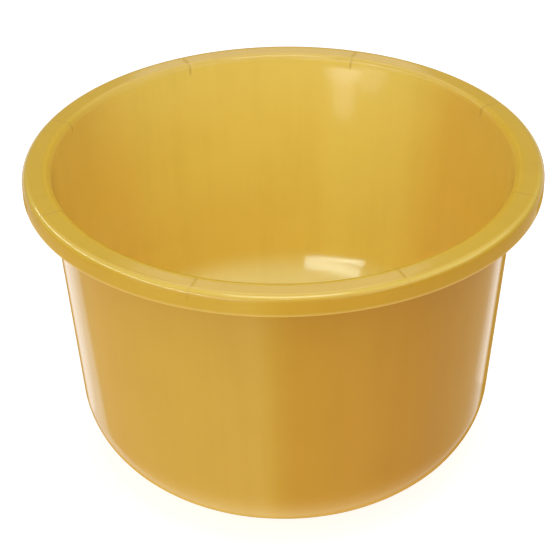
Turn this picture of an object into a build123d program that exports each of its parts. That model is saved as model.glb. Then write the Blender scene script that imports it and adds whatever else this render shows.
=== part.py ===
from build123d import *
import os
from math import cos, degrees, radians, sin, tan

# A deep round household basin, moulded in one shot from glossy polypropylene.
# It has a flat floor, a large round heel, a side wall that leans slightly outwards, and a flat
# rim that turns down into a short skirt, stiffened by gussets under the rim.
#
# The moulding is given as its regions. They are bands of one thickness that follow one another
# up the same section, and each ends on the face where the next begins.
#
# Millimetres. +Z is up, and the origin is where the axis meets the surface it stands on.

os.makedirs("parts", exist_ok=True)

# --- Driving dimensions -------------------------------------------------------------------

rim_radius = 150.0  # outside of the rim, the widest part
overall_height = 195.0  # from the foot to the rim's top face
thickness = 1.8  # of the floor, heel, side wall and rim

wall_draft = 4.23  # degrees that the side wall leans outwards
wall_radius_at_skirt = 134.6  # outside of the side wall, level with the skirt's lower edge
heel_radius = 49.0  # outside of the rounding between floor and side wall

skirt_depth = 11.6  # from the rim's top face down to the skirt's lower edge
skirt_edge_radius = 0.7  # the skirt's lower edge
lip_radius = 4.0  # where the side wall's inner face turns over into the rim
rim_edge_radius = 5.0  # where the rim's top face turns down into the skirt

rib_count = 8
first_rib_azimuth = 22.5  # degrees from +X
rib_thickness = 1.4
rib_depth = 7.5  # from the rim's top face down to the gussets' lower edge

foot_outer_radius = 70.0
foot_width = 3.0
foot_height = 2.0
foot_edge_radius = 0.6

gate_radius = 3.0  # stub of the moulding's feed, cut short under the floor's centre
gate_height = 0.9
gate_bevel = 0.4

# --- Sizes that follow --------------------------------------------------------------------

skirt_bottom = overall_height - skirt_depth
rim_underside = overall_height - thickness
across_wall = (cos(radians(wall_draft)), -sin(radians(wall_draft)))  # unit, out of the wall


def wall_radius(height):
    """Outer radius of the side wall at a height."""
    return wall_radius_at_skirt + (height - skirt_bottom) * tan(radians(wall_draft))


def across(centre, distance):
    """Point at a distance from centre, square to the side wall and outwards."""
    return (centre[0] + distance * across_wall[0], centre[1] + distance * across_wall[1])


def radial_plane(azimuth):
    """Upright plane through the axis, its local X pointing out at an azimuth in degrees."""
    a = radians(azimuth)
    return Plane((0, 0, 0), x_dir=(cos(a), sin(a), 0), z_dir=(sin(a), -cos(a), 0))


# Centres of the section's three roundings, as (radius, height). Each is the centre of the
# inner face's arc and of the outer face's arc, so the band keeps its thickness round the bend.
heel_height = foot_height + heel_radius
heel_centre = (wall_radius(heel_height) - heel_radius / across_wall[0], heel_height)

under_lip_radius = lip_radius - thickness
lip_height = overall_height - lip_radius
lip_centre = (wall_radius(lip_height) + under_lip_radius / across_wall[0], lip_height)

under_edge_radius = rim_edge_radius - thickness
edge_centre = (rim_radius - rim_edge_radius, overall_height - rim_edge_radius)

bend = 90 - wall_draft  # degrees that the section turns at the heel and again at the lip

# --- Floor: a flat disc out to where the heel begins ---------------------------------------

with BuildPart() as floor:
    with BuildSketch(Plane.XY.offset(foot_height)):
        Circle(heel_centre[0])
    extrude(amount=thickness)

floor.part.label = "floor"
export_step(floor.part, "parts/floor.step")

# --- Heel: the rounding from the floor up into the side wall -------------------------------

with BuildPart() as heel:
    with BuildSketch(Plane.XZ):
        with BuildLine():
            outside = CenterArc(heel_centre, heel_radius, -90, bend)
            inside = CenterArc(heel_centre, heel_radius - thickness, -90, bend)
            Line(outside @ 0, inside @ 0)
            Line(outside @ 1, inside @ 1)
        make_face()
    revolve(axis=Axis.Z)

heel.part.label = "heel"
export_step(heel.part, "parts/heel.step")

# --- Side wall: the straight, leaning band from the heel up to the lip ---------------------

with BuildPart() as side_wall:
    with BuildSketch(Plane.XZ):
        with BuildLine():
            Polyline(
                across(heel_centre, heel_radius),
                across(lip_centre, -under_lip_radius),
                across(lip_centre, -lip_radius),
                across(heel_centre, heel_radius - thickness),
                close=True,
            )
        make_face()
    revolve(axis=Axis.Z)

side_wall.part.label = "side_wall"
export_step(side_wall.part, "parts/side_wall.step")

# --- Rim flange: lip, flat top face, and the rounding down to the skirt --------------------

with BuildPart() as rim_flange:
    with BuildSketch(Plane.XZ):
        with BuildLine():
            lip = CenterArc(lip_centre, lip_radius, 90, bend)
            under_lip = CenterArc(lip_centre, under_lip_radius, 90, bend)
            edge = CenterArc(edge_centre, rim_edge_radius, 0, 90)
            under_edge = CenterArc(edge_centre, under_edge_radius, 0, 90)
            Line(lip @ 0, edge @ 1)
            Line(under_lip @ 0, under_edge @ 1)
            Line(lip @ 1, under_lip @ 1)
            Line(edge @ 0, under_edge @ 0)
        make_face()
    revolve(axis=Axis.Z)

rim_flange.part.label = "rim_flange"
export_step(rim_flange.part, "parts/rim_flange.step")

# --- Rim skirt: the short upright band that hangs from the flange's edge --------------------

with BuildPart() as rim_skirt:
    with BuildSketch(Plane.XZ):
        with Locations((rim_radius, skirt_bottom)):
            Rectangle(thickness, edge_centre[1] - skirt_bottom, align=(Align.MAX, Align.MIN))
        fillet(vertices().group_by(Axis.Y)[0], skirt_edge_radius)
    revolve(axis=Axis.Z)

rim_skirt.part.label = "rim_skirt"
export_step(rim_skirt.part, "parts/rim_skirt.step")

# --- Rim ribs: gussets that fill the section between wall, flange and skirt -----------------
# Each is a thin sector about the axis, so it meets the wall, flange and skirt on their own faces.

rib_bottom = overall_height - rib_depth
rib_arc = degrees(rib_thickness / lip_centre[0])

with BuildPart() as rim_ribs:
    for rib in range(rib_count):
        azimuth = first_rib_azimuth + rib * 360 / rib_count
        with BuildSketch(radial_plane(azimuth - rib_arc / 2)):
            with BuildLine():
                under_lip = CenterArc(lip_centre, under_lip_radius, 90, bend)
                under_edge = CenterArc(edge_centre, under_edge_radius, 0, 90)
                Line(under_lip @ 0, under_edge @ 1)
                Polyline(
                    under_lip @ 1,
                    (wall_radius(rib_bottom), rib_bottom),
                    (rim_radius - thickness, rib_bottom),
                    under_edge @ 0,
                )
            make_face()
        revolve(axis=Axis.Z, revolution_arc=rib_arc)

rim_ribs.part.label = "rim_ribs"
export_step(rim_ribs.part, "parts/rim_ribs.step")

# --- Foot ring: the bead under the floor that the basin stands on ---------------------------

with BuildPart() as foot_ring:
    with BuildSketch(Plane.XZ):
        with Locations((foot_outer_radius, 0)):
            Rectangle(foot_width, foot_height, align=(Align.MAX, Align.MIN))
        fillet(vertices().group_by(Axis.Y)[0], foot_edge_radius)
    revolve(axis=Axis.Z)

foot_ring.part.label = "foot_ring"
export_step(foot_ring.part, "parts/foot_ring.step")

# --- Gate vestige: what is left of the moulding's feed, clear of the standing surface -------

with BuildPart() as gate_vestige:
    with BuildSketch(Plane.XY.offset(foot_height)):
        Circle(gate_radius)
    extrude(amount=-gate_height)
    chamfer(faces().sort_by(Axis.Z)[0].edges(), gate_bevel)

gate_vestige.part.label = "gate_vestige"
export_step(gate_vestige.part, "parts/gate_vestige.step")
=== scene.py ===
import math

import bpy
import numpy as np
from mathutils import Matrix, Quaternion, Vector


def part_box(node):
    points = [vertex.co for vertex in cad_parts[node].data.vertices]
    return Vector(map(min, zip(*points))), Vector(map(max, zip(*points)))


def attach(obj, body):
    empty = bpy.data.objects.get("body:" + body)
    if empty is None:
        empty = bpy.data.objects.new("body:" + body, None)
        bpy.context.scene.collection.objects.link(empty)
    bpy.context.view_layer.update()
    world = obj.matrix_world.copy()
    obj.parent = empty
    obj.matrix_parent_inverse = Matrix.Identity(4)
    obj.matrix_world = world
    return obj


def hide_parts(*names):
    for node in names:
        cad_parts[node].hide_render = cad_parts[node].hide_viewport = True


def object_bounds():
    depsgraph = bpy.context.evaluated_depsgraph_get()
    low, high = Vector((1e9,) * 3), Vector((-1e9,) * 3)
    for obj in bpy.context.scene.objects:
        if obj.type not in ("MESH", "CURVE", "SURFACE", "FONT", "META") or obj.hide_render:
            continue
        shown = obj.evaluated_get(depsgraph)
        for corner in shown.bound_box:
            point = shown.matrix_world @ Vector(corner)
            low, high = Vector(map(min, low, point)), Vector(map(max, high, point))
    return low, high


# A deep round basin, moulded in one piece from glossy pearlescent plastic. The whole moulding is
# one closed turned mesh that follows the section of the CAD regions, with the faults of a real
# moulding cut into it: sink marks over the ribs, a little warp, and shallow flow waves.

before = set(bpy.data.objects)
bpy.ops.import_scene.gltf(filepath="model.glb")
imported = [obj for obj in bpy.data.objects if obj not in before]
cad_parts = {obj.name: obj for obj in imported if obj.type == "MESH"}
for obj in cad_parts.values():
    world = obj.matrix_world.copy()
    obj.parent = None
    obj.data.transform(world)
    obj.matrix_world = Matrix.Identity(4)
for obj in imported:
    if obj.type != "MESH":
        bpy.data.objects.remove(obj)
cad_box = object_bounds()

MM = 0.001
SEED = 7
RIBS = 8
FIRST_RIB = math.radians(22.5)
FOOT_WIDTH = 3.0 * MM
SINK_WIDTH = 0.7 * MM
SINK_DEPTH = 0.16 * MM
SINK_FADE = 1.2 * MM
FLOW_DEPTH = 0.06 * MM
WARP_DEPTH = 0.10 * MM
RIM_SHRINK = 0.25 * MM

# --- Sizes of the section, worked out from the boxes of the CAD regions ---------------------

floor_low, floor_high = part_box("floor")
heel_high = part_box("heel")[1]
wall_low, wall_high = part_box("side_wall")
flange_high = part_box("rim_flange")[1]
skirt_low, skirt_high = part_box("rim_skirt")
foot_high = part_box("foot_ring")[1]
rib_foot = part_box("rim_ribs")[0].z

rim_radius = flange_high.x
rim_top = flange_high.z
thickness = floor_high.z - floor_low.z
wall_lean = math.atan((wall_high.x - heel_high.x) / (wall_high.z - wall_low.z))

heel_radius = (wall_low.z - floor_low.z) / (1 - math.sin(wall_lean))
heel_centre = (floor_high.x, floor_low.z + heel_radius)

lip_radius = (rim_top - wall_high.z) / (1 - math.sin(wall_lean))
lip_height = rim_top - lip_radius
edge_radius = rim_top - skirt_high.z
edge_centre = (rim_radius - edge_radius, rim_top - edge_radius)

wall_foot = (heel_centre[0] + heel_radius * math.cos(wall_lean),
             heel_centre[1] - heel_radius * math.sin(wall_lean))


def wall_radius(height):
    """Outer radius of the side wall at a height."""
    return wall_foot[0] + (height - wall_foot[1]) * math.tan(wall_lean)


lip_centre = (wall_radius(lip_height) + (lip_radius - thickness) / math.cos(wall_lean), lip_height)


# --- The section as a run of points, each with its outward direction -------------------------

class Section:
    """Points (radius, height) along the section, with the normal and the part's name of each."""

    def __init__(self):
        self.points, self.normals, self.parts = [], [], []

    def add(self, point, normal, part):
        self.points.append(point)
        self.normals.append(normal)
        self.parts.append(part)

    def line(self, start, end, steps, part):
        run, rise = end[0] - start[0], end[1] - start[1]
        length = math.hypot(run, rise)
        for i in range(1, steps):
            t = i / steps
            self.add((start[0] + run * t, start[1] + rise * t), (rise / length, -run / length), part)

    def arc(self, centre, radius, start, end, steps, part, hollow=False):
        side = -1 if hollow else 1
        for i in range(steps + 1):
            a = math.radians(start + (end - start) * i / steps)
            self.add((centre[0] + radius * math.cos(a), centre[1] + radius * math.sin(a)),
                     (side * math.cos(a), side * math.sin(a)), part)

    def end(self):
        return self.points[-1]


def moulding_section():
    """The section from the axis under the floor, up the outside, over the rim and down inside."""
    s = Section()
    lean = math.degrees(wall_lean)
    foot_round, skirt_round = 0.6 * MM, 0.7 * MM
    fillet = 0.5 * MM
    base = floor_low.z
    foot_in = foot_high.x - FOOT_WIDTH
    s.add((0, base), (0, -1), "base")
    s.line((0, base), (foot_in - fillet, base), 6, "base")
    s.arc((foot_in - fillet, base - fillet), fillet, 90, 0, 3, "base", hollow=True)
    s.arc((foot_in + foot_round, foot_round), foot_round, 180, 270, 4, "foot")
    s.arc((foot_high.x - foot_round, foot_round), foot_round, 270, 360, 4, "foot")
    s.arc((foot_high.x + fillet, base - fillet), fillet, 180, 90, 3, "base", hollow=True)
    s.arc(heel_centre, heel_radius, -90, -lean, 26, "heel_out")
    under_lip = lip_radius - thickness
    top_of_wall = (lip_centre[0] - under_lip * math.cos(wall_lean),
                   lip_centre[1] + under_lip * math.sin(wall_lean))
    s.line(s.end(), top_of_wall, 22, "wall_out")
    s.arc(lip_centre, under_lip, 180 - lean, 90, 5, "under", hollow=True)
    s.line(s.end(), (edge_centre[0], rim_top - thickness), 4, "under")
    s.arc(edge_centre, edge_radius - thickness, 90, 0, 6, "under", hollow=True)
    skirt_in = rim_radius - thickness
    s.line(s.end(), (skirt_in, skirt_low.z + skirt_round), 3, "under")
    s.arc((skirt_in + skirt_round, skirt_low.z + skirt_round), skirt_round, 180, 270, 4, "skirt_edge")
    s.arc((rim_radius - skirt_round, skirt_low.z + skirt_round), skirt_round, 270, 360, 5, "skirt_edge")
    s.line(s.end(), (rim_radius, edge_centre[1]), 4, "skirt")
    s.arc(edge_centre, edge_radius, 0, 90, 16, "edge")
    s.line(s.end(), (lip_centre[0], rim_top), 6, "flange")
    s.arc(lip_centre, lip_radius, 90, 180 - lean, 12, "lip")
    inside = heel_radius - thickness
    foot_of_wall = (heel_centre[0] + inside * math.cos(wall_lean),
                    heel_centre[1] - inside * math.sin(wall_lean))
    s.line(s.end(), foot_of_wall, 34, "wall_in")
    s.arc(heel_centre, inside, -lean, -90, 26, "heel_in", hollow=True)
    s.line(s.end(), (0, floor_high.z), 16, "floor_in")
    s.add((0, floor_high.z), (0, 1), "floor_in")
    return s


def columns():
    """Azimuths of the mesh's columns: one a degree, closer together over each rib."""
    close, near = 0.25, 2.0
    angles = set()
    for step in range(360):
        if abs((step - math.degrees(FIRST_RIB) + 180 / RIBS) % (360 / RIBS) - 180 / RIBS) > near:
            angles.add(float(step))
    for rib in range(RIBS):
        middle = math.degrees(FIRST_RIB) + rib * 360 / RIBS
        count = int(near / close)
        for i in range(-count, count + 1):
            angles.add(round((middle + i * close) % 360, 4))
    return np.radians(sorted(angles))


def waves(rng, azimuth, height, counts, tilt, depth):
    """Sum of slow waves round the wall, each with its own phase and a little drift up the wall."""
    total = np.zeros(np.broadcast(azimuth, height).shape)
    for count in counts:
        phase, drift = rng.uniform(0, 2 * math.pi), rng.uniform(-tilt, tilt)
        total = total + np.cos(count * azimuth + phase + drift * height) * depth / math.sqrt(count)
    return total


def add_object(name, data):
    obj = bpy.data.objects.new(name, data)
    bpy.context.scene.collection.objects.link(obj)
    return obj


def closed_mesh(name, radius, height, azimuths):
    """A closed mesh from rings of points; the first and the last ring are points on the axis."""
    inner, count = len(radius) - 2, len(azimuths)
    rings = np.stack([radius * np.cos(azimuths), radius * np.sin(azimuths),
                      np.broadcast_to(height, radius.shape)], axis=2)
    poles = [[0, 0, height[0, 0]], [0, 0, height[-1, 0]]]
    verts = np.concatenate([rings[1:-1].reshape(-1, 3), poles])
    low_pole, high_pole = inner * count, inner * count + 1
    top_ring = (inner - 1) * count
    faces = []
    for i in range(0, top_ring, count):
        for j in range(count):
            k = (j + 1) % count
            faces.append((i + j, i + k, i + count + k, i + count + j))
    for j in range(count):
        k = (j + 1) % count
        faces.append((low_pole, k, j))
        faces.append((high_pole, top_ring + j, top_ring + k))
    mesh = bpy.data.meshes.new(name)
    mesh.from_pydata(verts.tolist(), [], faces)
    mesh.polygons.foreach_set("use_smooth", [True] * len(mesh.polygons))
    return mesh


def build_shell():
    s = moulding_section()
    points, normals, parts = np.array(s.points), np.array(s.normals), np.array(s.parts)
    azimuths = columns()
    a = azimuths[None, :]
    rng = np.random.default_rng(SEED)
    r, z = points[:, :1], points[:, 1:]
    nr, nz = normals[:, :1], normals[:, 1:]

    def weight(**shares):
        """A column with each part's share of something, 0 where a part isn't named."""
        w = np.zeros(len(parts))
        for part, share in shares.items():
            w[parts == part] = share
        return w[:, None]

    # Sink marks: shallow furrows across the flange and a little way down the inner wall.
    pitch = 2 * math.pi / RIBS
    off_rib = (a - FIRST_RIB + pitch / 2) % pitch - pitch / 2
    furrow = np.exp(-((off_rib * rim_radius) / SINK_WIDTH) ** 2)
    on_rim = weight(flange=1.0, lip=1.0, edge=0.5, skirt=0.2, wall_in=1.0)
    sink = furrow * on_rim * np.clip((z - rib_foot) / SINK_FADE, 0, 1)

    # Flow waves: a few hundredths of a millimetre, so that reflections waver as on a real wall.
    on_wall = weight(wall_out=1.0, wall_in=1.0, heel_out=1.0, heel_in=1.0, flange=0.35, lip=0.35)
    flow = on_wall * waves(rng, a, z, (5, 8, 11, 17, 23), 30.0, FLOW_DEPTH)
    depth = flow - SINK_DEPTH * sink

    # Warp: the rim is a little out of round, always inwards.
    warp = waves(rng, a, z, (2, 3, 5), 4.0, WARP_DEPTH) - RIM_SHRINK
    lift = np.clip(z / rim_top, 0, 1) ** 2
    radius = r + nr * depth + warp * lift * (r > 0)
    height = np.minimum(z + nz * depth, rim_top)
    mesh = closed_mesh("basin_shell", radius, height, azimuths)

    # Fields that the material reads. Directions: back is 1 at the rear and -1 at the front,
    # level is 1 where the surface faces up, and rounding is its slope in degrees.
    back = np.sin(a)
    level = np.clip((nz - 0.15) / 0.75, 0, 1)
    rounding = np.degrees(np.arcsin(np.clip(nz, -1, 1)))
    # Where a painted highlight goes: a line along the rounding of the front edge and of the rear lip.
    painted_crest = weight(edge=1.0) * np.clip(0.5 - 1.5 * back, 0, 1) + weight(lip=0.8) * np.clip(back, 0, 1)
    dulled = weight(skirt=0.7, skirt_edge=0.5, edge=0.7) * (1 - np.clip((nz - 0.2) / 0.4, 0, 1))
    dulled = dulled + weight(heel_in=0.3, floor_in=0.6)
    dulled = dulled + weight(lip=0.75) * np.clip(1.3 - 1.5 * back, 0, 1)
    fields = {
        "sink_mark": sink,
        "inside": weight(lip=1.0, wall_in=1.0, heel_in=1.0, floor_in=1.0),
        "flange": np.maximum(weight(flange=1.0, edge=1.0, lip=1.0) * level,
                             weight(edge=0.35, skirt=0.35)),
        # The skirt's bottom edge carries a painted highlight.
        "edge_highlight": weight(skirt_edge=1.0),
        "matt": weight(wall_out=1.0, heel_out=1.0, base=1.0, foot=1.0),
        "rim_side": weight(edge=1.0, skirt=1.0),
        "dulled": dulled,
        "painted_crest": painted_crest * np.exp(-((rounding - 58) / 14) ** 2),
    }
    for name, field in fields.items():
        rows = np.broadcast_to(field, radius.shape)[1:-1].reshape(-1)
        poles = [0, float(name == "inside")]
        layer = mesh.attributes.new(name, "FLOAT", "POINT")
        layer.data.foreach_set("value", np.concatenate([rows, poles]).astype(np.float32))
    mesh.update()
    return add_object("basin_shell", mesh)


# --- Material ------------------------------------------------------------------------------

class Nodes:
    """A short way to lay out a node tree. A value is a number, a colour or another node's output."""

    def __init__(self, tree):
        self.tree = tree

    def feed(self, socket, value):
        if isinstance(value, bpy.types.NodeSocket):
            self.tree.links.new(value, socket)
        else:
            socket.default_value = (*value, 1) if isinstance(value, tuple) else value

    def add(self, kind, inputs=None, **settings):
        """A new node with its settings, and with a value for each socket named in inputs."""
        made = self.tree.nodes.new(kind)
        for name, value in settings.items():
            setattr(made, name, value)
        for name, value in (inputs or {}).items():
            self.feed(made.inputs[name], value)
        return made

    def math(self, operation, *values):
        made = self.add("ShaderNodeMath", operation=operation)
        for socket, value in zip(made.inputs, values):
            self.feed(socket, value)
        return made.outputs[0]

    def plus(self, first, second):
        return self.math("ADD", first, second)

    def minus(self, first, second):
        return self.math("SUBTRACT", first, second)

    def times(self, first, *others):
        for value in others:
            first = self.math("MULTIPLY", first, value)
        return first

    def mix(self, share, first, second, kind="MIX"):
        made = self.add("ShaderNodeMix", data_type="RGBA", blend_type=kind)
        for place, value in ((0, share), (6, first), (7, second)):
            self.feed(made.inputs[place], value)
        return made.outputs[2]

    def step(self, value, start, end):
        """0 at start and 1 at end, with a smooth way between."""
        made = self.add("ShaderNodeMapRange", interpolation_type="SMOOTHSTEP",
                        inputs={"Value": value, "From Min": start, "From Max": end})
        return made.outputs[0]

    def attribute(self, name):
        return self.add("ShaderNodeAttribute", attribute_name=name).outputs["Fac"]

    def noise(self, place, scale, detail, roughness=0.5):
        made = self.add("ShaderNodeTexNoise", noise_dimensions="3D", inputs={
            "Vector": place, "Scale": scale, "Detail": detail, "Roughness": roughness})
        return made.outputs["Fac"]

    def ramp(self, share, stops):
        """A colour ramp over 0 to 1; each stop is a position and a colour."""
        made = self.add("ShaderNodeValToRGB", inputs={"Fac": share})
        points = made.color_ramp.elements
        while len(points) > 1:
            points.remove(points[-1])
        for i, (place, colour) in enumerate(stops):
            point = points[0] if i == 0 else points.new(place)
            point.position = place
            point.color = (*colour, 1)
        return made.outputs[0]


# Broad upright bands of slightly different gold that the melt left, with painted shade and light over
# them. Each stop is an azimuth in degrees.
# Outside, the bands also hold painted shade: darker on the right and lighter on the front left, as the
# light falls.
OUTER_BANDS_AND_SHADE = (
    (0, (0.580, 0.305, 0.015)), (60, (0.580, 0.310, 0.020)), (64, (0.600, 0.330, 0.025)),
    (120, (0.590, 0.325, 0.020)), (126, (0.560, 0.295, 0.015)), (190, (0.610, 0.335, 0.020)),
    (208, (0.650, 0.370, 0.030)), (217, (0.640, 0.355, 0.035)), (227, (0.630, 0.365, 0.040)),
    (245, (0.620, 0.365, 0.045)), (260, (0.620, 0.365, 0.050)), (264, (0.590, 0.330, 0.030)),
    (269, (0.555, 0.280, 0.020)), (288, (0.535, 0.260, 0.020)), (299, (0.510, 0.240, 0.015)),
    (309, (0.490, 0.230, 0.015)), (322, (0.510, 0.250, 0.010)), (336, (0.560, 0.300, 0.015)),
)
# Inside, the bands also hold painted light: paler on the far wall, which faces the front light, and
# darker at the sides.
INNER_BANDS_AND_LIGHT = (
    (0, (0.870, 0.575, 0.105)), (33, (0.870, 0.575, 0.105)), (40, (0.880, 0.610, 0.110)),
    (46, (0.890, 0.660, 0.125)), (52, (0.905, 0.715, 0.145)), (72, (0.925, 0.745, 0.150)),
    (77, (0.925, 0.715, 0.135)), (115, (0.915, 0.700, 0.130)), (130, (0.905, 0.670, 0.125)),
    (137, (0.880, 0.595, 0.110)), (175, (0.860, 0.565, 0.110)), (250, (0.870, 0.620, 0.130)),
    (290, (0.895, 0.670, 0.140)), (330, (0.890, 0.620, 0.115)),
)

# Golds that are mixed over the bands, each where its name says. The rim-top and sink-mark golds are the
# plastic's own; the others are painted light, shade and highlights.
BOWL_WALL_SHADE = (0.76, 0.48, 0.08)
BOWL_BOTTOM_LIGHT = (0.98, 0.89, 0.42)
FAR_WALL_LIGHT = (0.99, 0.78, 0.18)
UNDER_RIM_SHADE = (0.20, 0.08, 0.0)
TURN_IN_LIGHT = (0.80, 0.57, 0.17)
BASE_SHADE = (0.34, 0.23, 0.05)
RIM_TOP = (0.68, 0.43, 0.035)
CREST_HIGHLIGHT = (0.75, 0.54, 0.08)
EDGE_HIGHLIGHT = (0.88, 0.62, 0.14)
SINK_MARK = (0.36, 0.20, 0.03)

# A pearl cloud or streak shades the gold, from its darkest to its palest.
PEARL = ((0.34, (0.95, 0.935, 0.88)), (0.50, (0.985, 0.98, 0.97)), (0.66, (1, 1, 1)))


def body_colour(n, place, around, z, right, marks, mottle):
    """The gold under the gloss coat, with painted light, shade and highlights. Heights are in metres."""
    # The bands waver a little on their way up the wall.
    sway = n.times(n.minus(n.noise(place, 9.0, 3.0), 0.5), 0.012)
    wavered = n.math("FRACT", n.plus(around, n.plus(sway, 1.0)))
    outer = n.ramp(wavered, [(a / 360, c) for a, c in OUTER_BANDS_AND_SHADE])
    inner = n.ramp(wavered, [(a / 360, c) for a, c in INNER_BANDS_AND_LIGHT])

    # Inside, painted shade makes it browner low on the wall, and painted light makes it paler on the
    # bottom and high on the far wall.
    middle = n.times(n.step(z, 0.130, 0.075), n.minus(0.35, n.times(right, 0.20)))
    inner = n.mix(middle, inner, BOWL_WALL_SHADE)
    bottom = n.times(n.step(z, 0.058, 0.034), 0.9)
    inner = n.mix(bottom, inner, BOWL_BOTTOM_LIGHT)
    far = n.step(n.math("ABSOLUTE", n.minus(around, 0.26)), 0.17, 0.10)
    high = n.times(n.step(z, 0.110, 0.188), 0.7, far)
    inner = n.mix(high, inner, FAR_WALL_LIGHT)

    # Outside, painted shade makes it darker under the rim, painted light from the bright floor makes it
    # paler where the wall turns in, and a band of painted shade darkens the base along the lower
    # outline.
    outer = n.mix(n.times(n.step(z, 0.120, 0.182), 0.09), outer, UNDER_RIM_SHADE)
    outer = n.mix(n.times(n.step(z, 0.045, 0.015), 0.4), outer, TURN_IN_LIGHT)
    # Painted shade: a dark band low on the heel, along the lower outline.
    outer = n.mix(n.times(n.step(z, 0.021, 0.014), 0.5), outer, BASE_SHADE)

    colour = n.mix(marks["inside"], outer, inner)
    colour = n.mix(marks["flange"], colour, RIM_TOP)
    # Painted highlight along the rim's front edge and rear lip.
    colour = n.mix(n.times(marks["painted_crest"], 0.9), colour, CREST_HIGHLIGHT)
    # Painted highlight along the skirt's bottom edge.
    colour = n.mix(n.times(marks["edge_highlight"], 0.4), colour, EDGE_HIGHLIGHT)
    colour = n.mix(1.0, colour, n.ramp(mottle, PEARL), "MULTIPLY")
    marked = n.times(marks["sink_mark"], n.minus(0.55, n.times(marks["flange"], 0.30)))
    return n.mix(marked, colour, SINK_MARK)


def gloss_weight(n, z, right, marks):
    """The gloss coat's weight: weaker where the photo shows little gloss, and seen edge-on."""
    facing = n.add("ShaderNodeLayerWeight", inputs={"Blend": 0.5}).outputs["Facing"]
    low = n.step(z, 0.055, 0.015)

    # facing is 0 square-on and 1 edge-on. The coat gives out over the last stretch, from start.
    early = n.plus(n.times(low, 0.14), n.times(marks["rim_side"], 0.04))
    start = n.minus(0.86, n.plus(n.times(right, 0.05), early))
    edge = n.step(n.math("DIVIDE", n.minus(facing, start), 0.07), 0.0, 1.0)
    edge = n.times(edge, n.minus(1.0, marks["inside"]))

    # On the outside it is also weaker where it is seen square-on, and low on the heel.
    reach = n.plus(n.times(right, 0.12), 0.05)
    square_on = n.step(n.math("DIVIDE", n.minus(facing, 0.68), reach), 1.0, 0.0)
    dull = n.math("MAXIMUM", n.times(square_on, 0.60), n.times(low, 0.75))
    dull = n.math("MAXIMUM", n.times(dull, marks["matt"]), marks["dulled"])
    dull = n.math("MAXIMUM", dull, n.times(edge, 0.96))
    return n.minus(1.0, dull)


def gold_plastic():
    mat = bpy.data.materials.new("pearl_gold_plastic")
    mat.use_nodes = True
    mat.node_tree.nodes.clear()
    n = Nodes(mat.node_tree)
    place = n.add("ShaderNodeTexCoord").outputs["Object"]
    x, y, z = n.add("ShaderNodeSeparateXYZ", inputs={"Vector": place}).outputs
    around = n.math("DIVIDE", n.math("ARCTAN2", y, x), 2 * math.pi)
    around = n.math("FRACT", n.plus(around, 1.0))
    right = n.step(x, -0.05, 0.05)
    marks = {name: n.attribute(name) for name in
             ("inside", "flange", "sink_mark", "edge_highlight", "painted_crest", "matt", "rim_side", "dulled")}

    # Cloudy pearl and fine upright streaks of the flow.
    cloud = n.noise(place, 22.0, 4.0)
    stretched = n.add("ShaderNodeCombineXYZ", inputs={"X": n.times(around, 60.0), "Y": n.times(z, 5.0)})
    streak = n.noise(stretched.outputs[0], 1.0, 5.0, roughness=0.6)
    mottle = n.plus(n.times(cloud, 0.5), n.times(streak, 0.5))

    rough = n.add("ShaderNodeMapRange", inputs={"Value": cloud, "To Min": 0.34, "To Max": 0.48})
    bump = n.add("ShaderNodeBump", inputs={"Distance": 0.0004, "Strength": 0.25, "Height": mottle})
    shader = n.add("ShaderNodeBsdfPrincipled", inputs={
        "Base Color": body_colour(n, place, around, z, right, marks, mottle),
        "Metallic": 0.0,
        "Roughness": rough.outputs[0],
        "Specular IOR Level": 0.0,
        "Coat Weight": gloss_weight(n, z, right, marks),
        "Coat Roughness": 0.11,
        "Coat IOR": 1.45,
        "Coat Normal": bump.outputs[0],
    })
    n.add("ShaderNodeOutputMaterial", inputs={"Surface": shader.outputs[0]})
    return mat


# --- The pieces ----------------------------------------------------------------------------

plastic = gold_plastic()
shell = build_shell()
shell.data.materials.append(plastic)
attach(shell, "root")
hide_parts("side_wall", "heel", "floor", "foot_ring", "rim_flange", "rim_skirt")
for name in ("rim_ribs", "gate_vestige"):
    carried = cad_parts[name].data.materials
    carried.clear()
    carried.append(plastic)

# --- Stage ---------------------------------------------------------------------------------

FLOOR_HALF = 6.0
FLOOR_GAP = 0.2 * MM
FLOOR_GLOW = 0.78
WORLD_GLOW = 0.38
BASIN_MIDDLE = Vector((0, 0, 0.1))
# The photo's view is turned this far round the basin; the glint cards and the camera turn with it.
TURN = math.radians(-3.2)


def stage_floor():
    """A pale floor that glows, as a lit sweep does."""
    corners = [(-FLOOR_HALF, -FLOOR_HALF, 0), (FLOOR_HALF, -FLOOR_HALF, 0),
               (FLOOR_HALF, FLOOR_HALF, 0), (-FLOOR_HALF, FLOOR_HALF, 0)]
    mesh = bpy.data.meshes.new("ground")
    mesh.from_pydata(corners, [], [(0, 1, 2, 3)])
    mat = bpy.data.materials.new("pale_floor")
    mat.use_nodes = True
    n = Nodes(mat.node_tree)
    shader = mat.node_tree.nodes["Principled BSDF"]
    for name, value in (("Base Color", (0.5, 0.5, 0.5)), ("Roughness", 0.9), ("Specular IOR Level", 0.0),
                        ("Emission Color", (1, 1, 1)), ("Emission Strength", FLOOR_GLOW)):
        n.feed(shader.inputs[name], value)
    mesh.materials.append(mat)
    obj = add_object("ground", mesh)
    obj.location.z = cad_box[0].z - FLOOR_GAP


def towards(azimuth, elevation):
    a, e = math.radians(azimuth), math.radians(elevation)
    return Vector((math.cos(a) * math.cos(e), math.sin(a) * math.cos(e), math.sin(e)))


def aimed_light(light, place, back, tilt=0.0):
    """A light at a place, with its back turned to a direction and tilted about it in degrees."""
    obj = add_object(light.name, light)
    obj.location = place
    obj.rotation_mode = "QUATERNION"
    obj.rotation_quaternion = back.to_track_quat("Z", "Y") @ Quaternion((0, 0, 1), math.radians(tilt))
    return obj


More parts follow.
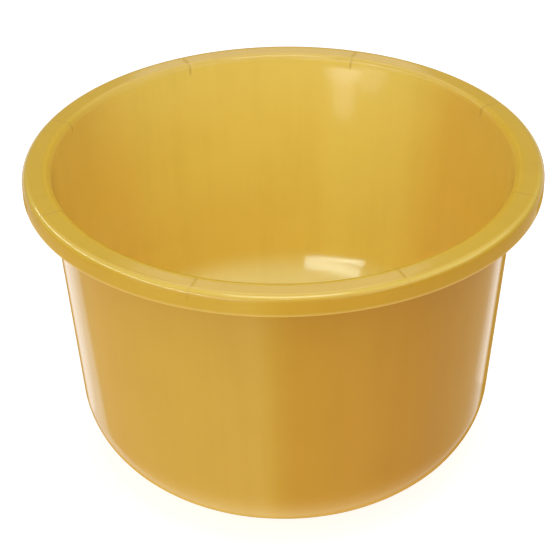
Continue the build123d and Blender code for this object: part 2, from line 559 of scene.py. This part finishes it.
def area_light(name, shape, size, power):
    light = bpy.data.lights.new(name, "AREA")
    light.shape = shape
    light.size, light.size_y = size
    light.energy = power
    return light


def softbox(name, azimuth, elevation, power, size=(0.9, 0.9), distance=1.8):
    way = towards(azimuth, elevation)
    aimed_light(area_light(name, "RECTANGLE", size, power), BASIN_MIDDLE + way * distance, way)


def glint_card(name, place, aim, size, power, tilt=0, spread=180, shape="RECTANGLE", colour=(1, 1, 1)):
    """A lit card that only shows as a reflection in the gloss."""
    light = area_light(name, shape, size, power)
    light.spread = math.radians(spread)
    light.color = colour
    turned = Matrix.Rotation(TURN, 3, "Z")
    start, end = turned @ Vector(place), turned @ Vector(aim)
    obj = aimed_light(light, start, start - end, tilt)
    obj.visible_camera = False
    obj.visible_diffuse = False


def spot_in_bowl():
    """A soft spot on the far side of the bowl's floor and heel."""
    light = bpy.data.lights.new("bowl_spot", "SPOT")
    light.energy = 16
    light.spot_size = math.radians(5.5)
    light.spot_blend = 1.0
    light.shadow_soft_size = 0.12
    way = towards(268, 58)
    aimed_light(light, Vector((0.008, 0.088, 0.012)) + way * 1.5, way)


stage_floor()

world = bpy.data.worlds.new("studio")
bpy.context.scene.world = world
world.use_nodes = True
backdrop = world.node_tree.nodes["Background"]
backdrop.inputs["Color"].default_value = (1, 1, 1, 1)
backdrop.inputs["Strength"].default_value = WORLD_GLOW

softbox("front", 268, 24, 3.6, size=(2.4, 1.4))
softbox("front_left", 230, 30, 6.0, size=(1.8, 1.4))
softbox("front_right", 328, 48, 3.0, size=(1.8, 1.4))
softbox("top_front", 270, 77, 9.0, size=(0.9, 0.6))
softbox("rear", 90, 62, 4.0)
softbox("rear_strip", 87, 36, 1.15, size=(0.46, 0.7))

# On the floor beside the basin: the pale bands down both sides of the wall.
glint_card("left_floor", (-0.200, 0.1375, 0.001), (-0.200, 0.1375, 1.0), (0.14, 0.26), 0.026, tilt=-45)
glint_card("right_floor", (0.217, 0.1475, 0.001), (0.217, 0.1475, 1.0), (0.14, 0.26), 0.042, tilt=45)
# Overhead: the bright line round the rim's edge and the sheen on its flat top.
glint_card("left_strip", (-1.2, -1.0, 1.45), (0.0, -1.0, 0.15), (5.0, 0.12), 20.0, tilt=8)
glint_card("right_strip", (1.2, -1.2, 1.45), (0.0, -1.2, 0.15), (4.0, 0.10), 6.0, tilt=-8)
glint_card("over_rim", (0.0, 0.0, 2.1), (0.0, 0.0, 0.2), (4.0, 4.0), 40.0)
# In the bowl, where no real lamp stood: they only place the two highlights, high on the far wall
# and on the far heel.
glint_card("wall_glint", (-0.0775, -0.06, 0.1140), (0.039, 0.127, 0.182), (0.046, 0.0165), 0.0011,
           spread=70, shape="ELLIPSE")
glint_card("wall_glint_low", (-0.0775, -0.06, 0.0920), (0.039, 0.126, 0.165), (0.030, 0.0320), 0.00065,
           spread=70, shape="ELLIPSE")
glint_card("wall_glint_wide", (-0.1040, -0.035, 0.1160), (0.055, 0.121, 0.180), (0.058, 0.036), 0.0012,
           spread=70, shape="ELLIPSE")
glint_card("heel_glint", (0.0185, 0.0895, 0.0350), (0.0250, 0.1180, 0.0420), (0.021, 0.0030), 0.0024,
           colour=(0.8, 1.0, 0.96))
spot_in_bowl()

# --- Camera --------------------------------------------------------------------------------

# Fitted to the basin's outline in the photo. Distances were found in rim radii.
RIM = 0.150
camera_distance = 7.0664 * RIM
camera_elevation = math.radians(33.2478)
aim_x, aim_z = -0.0734 * RIM, 0.6518 * RIM + 0.002
roll = math.radians(-1.0909)

place = Vector((0, -camera_distance * math.cos(camera_elevation),
                camera_distance * math.sin(camera_elevation) + aim_z))
forward = (Vector((aim_x, 0, aim_z)) - place).normalized()
right = forward.cross(Vector((0, 0, 1))).normalized()
up = right.cross(forward)
right_rolled = math.cos(roll) * right + math.sin(roll) * up
up_rolled = -math.sin(roll) * right + math.cos(roll) * up
basis = Matrix((right_rolled, up_rolled, -forward)).transposed().to_4x4()
basis.translation = place
cam_data = bpy.data.cameras.new("camera")
cam_data.sensor_width = 36
cam_data.lens = 112.5
cam_data.shift_x = 0.025
cam_data.shift_y = 0.025
cam_data.clip_end = 50
cam = add_object("camera", cam_data)
cam.matrix_world = Matrix.Rotation(TURN, 4, "Z") @ basis
bpy.context.scene.camera = cam
bpy.context.scene.view_settings.view_transform = "Standard"
bpy.context.scene.view_settings.look = "None"
